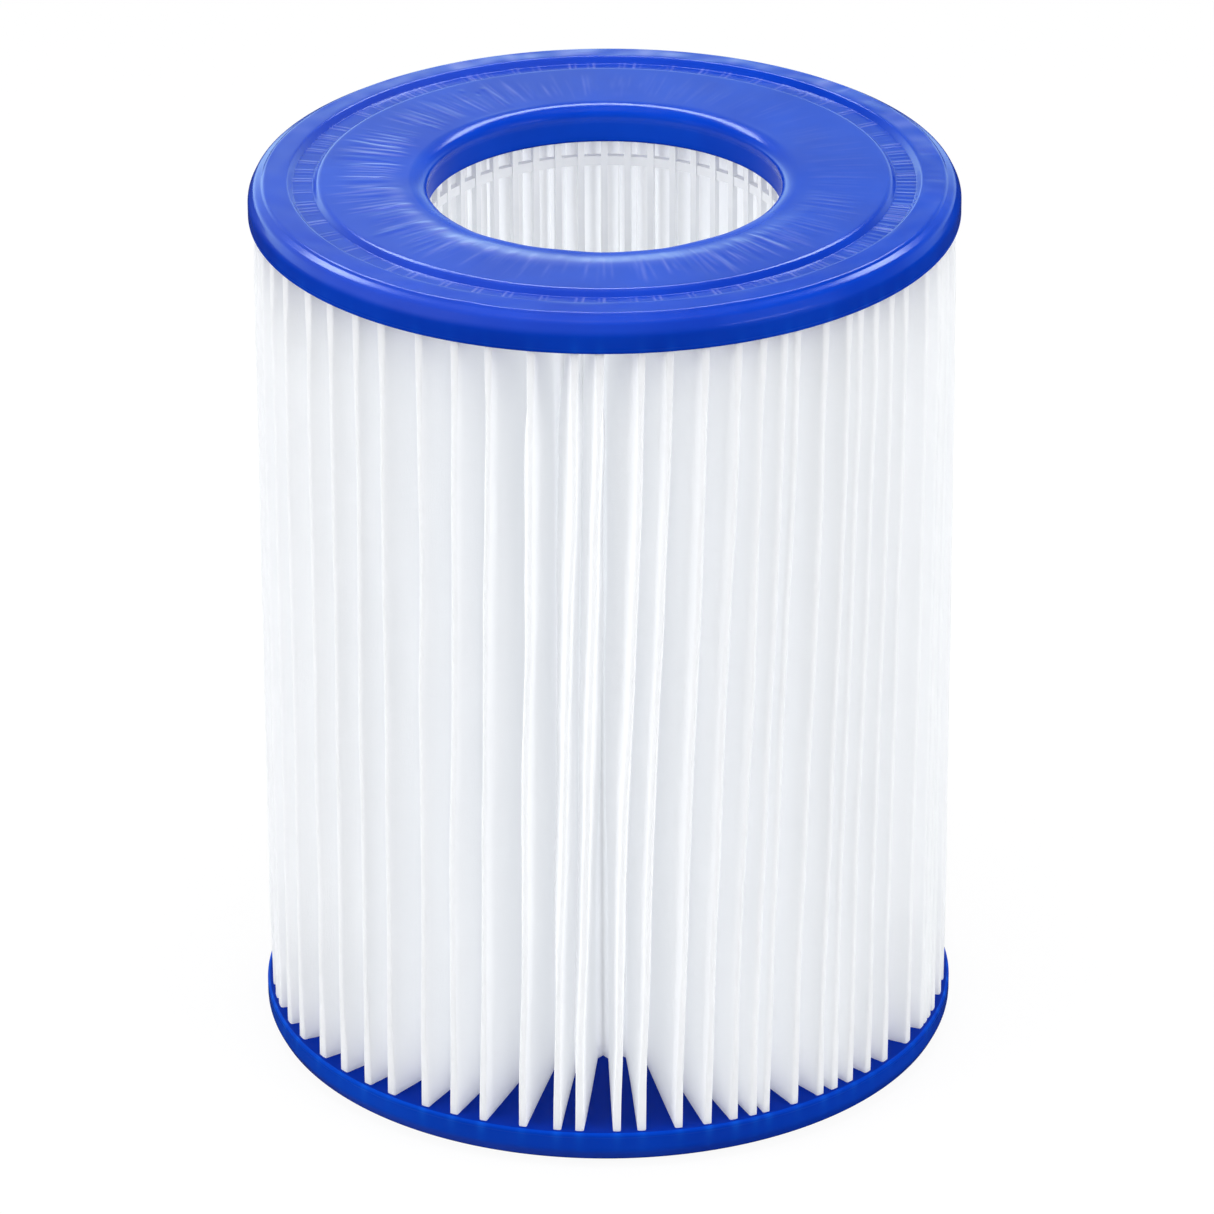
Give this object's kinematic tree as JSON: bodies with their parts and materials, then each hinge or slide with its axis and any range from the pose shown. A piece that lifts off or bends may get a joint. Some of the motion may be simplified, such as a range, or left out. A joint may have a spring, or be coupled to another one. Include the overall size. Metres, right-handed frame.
{
  "type": "pleated filter cartridge",
  "caption": "Pleated water filter cartridge: folded white fleece round a lattice core, held between two soft blue cast end caps with open centre holes.",
  "frame": {"origin": "centre of the lower end cap's outer face, on the cartridge axis", "axes": "+Z along the cartridge axis, from the lower end cap to the upper end cap; -Y is the side seen first"},
  "size_m": [0.106, 0.106, 0.139],
  "materials": {
    "cap_plastisol": "soft cast vinyl, saturated blue, satin gloss",
    "media_fleece": "white spunbond polyester fleece, matt with a faint sheen",
    "core_plastic": "natural white moulded plastic, satin",
    "hot_melt": "translucent cream hot-melt glue"
  },
  "bodies": {
    "root": {"top_end_cap": "cap_plastisol", "bottom_end_cap": "cap_plastisol", "pleated_media": "media_fleece", "seam_glue": "hot_melt", "core_upper_section": "core_plastic", "core_lower_section": "core_plastic"}
  },
  "joints": []
}
